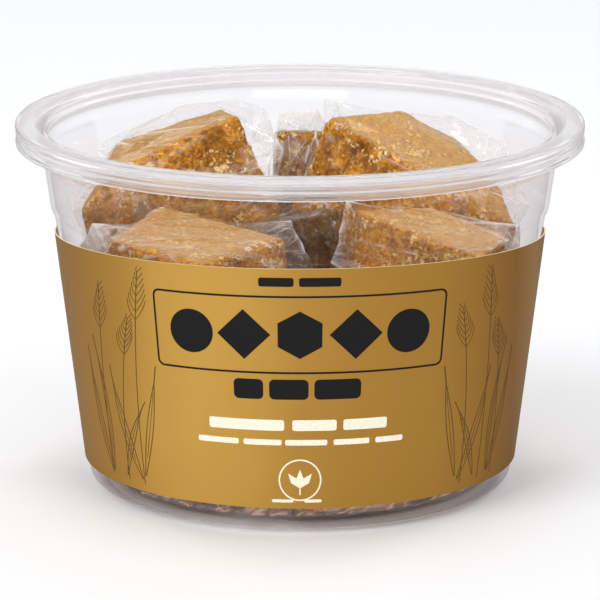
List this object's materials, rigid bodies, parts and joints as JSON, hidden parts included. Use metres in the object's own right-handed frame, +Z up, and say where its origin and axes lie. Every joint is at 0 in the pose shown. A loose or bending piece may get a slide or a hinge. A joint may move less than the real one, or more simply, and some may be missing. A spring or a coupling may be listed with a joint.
{
  "type": "tub of wrapped jaggery blocks",
  "caption": "Open clear round tub with a stepped rim and a gold wrap-round label, filled with rough cane-sugar blocks, each folded up in clear crinkled film.",
  "frame": {"origin": "centre of the foot ring's underside, on the surface that the tub stands on", "axes": "+Z up through the open top, -Y towards the middle of the label, +X to the right of someone facing the label"},
  "size_m": [0.128, 0.128, 0.0825],
  "materials": {
    "clear_plastic": "clear moulded plastic, glossy",
    "label": "satin metallic gold print",
    "jaggery": "rough, crystalline, slightly translucent",
    "film": "thin clear crinkled film, glossy",
    "dark_print": "satin black print",
    "pale_print": "satin cream print",
    "line_print": "satin brown line print"
  },
  "bodies": {
    "root": {"tub": "clear_plastic", "label": "label", "block_front_left": "jaggery", "block_front_right": "jaggery", "block_back_left": "jaggery", "block_back_right": "jaggery", "block_middle": "jaggery", "block_back_middle": "jaggery", "block_low_front_left": "jaggery", "block_low_front_right": "jaggery", "block_low_back_right": "jaggery", "block_low_back_left": "jaggery"}
  },
  "joints": []
}
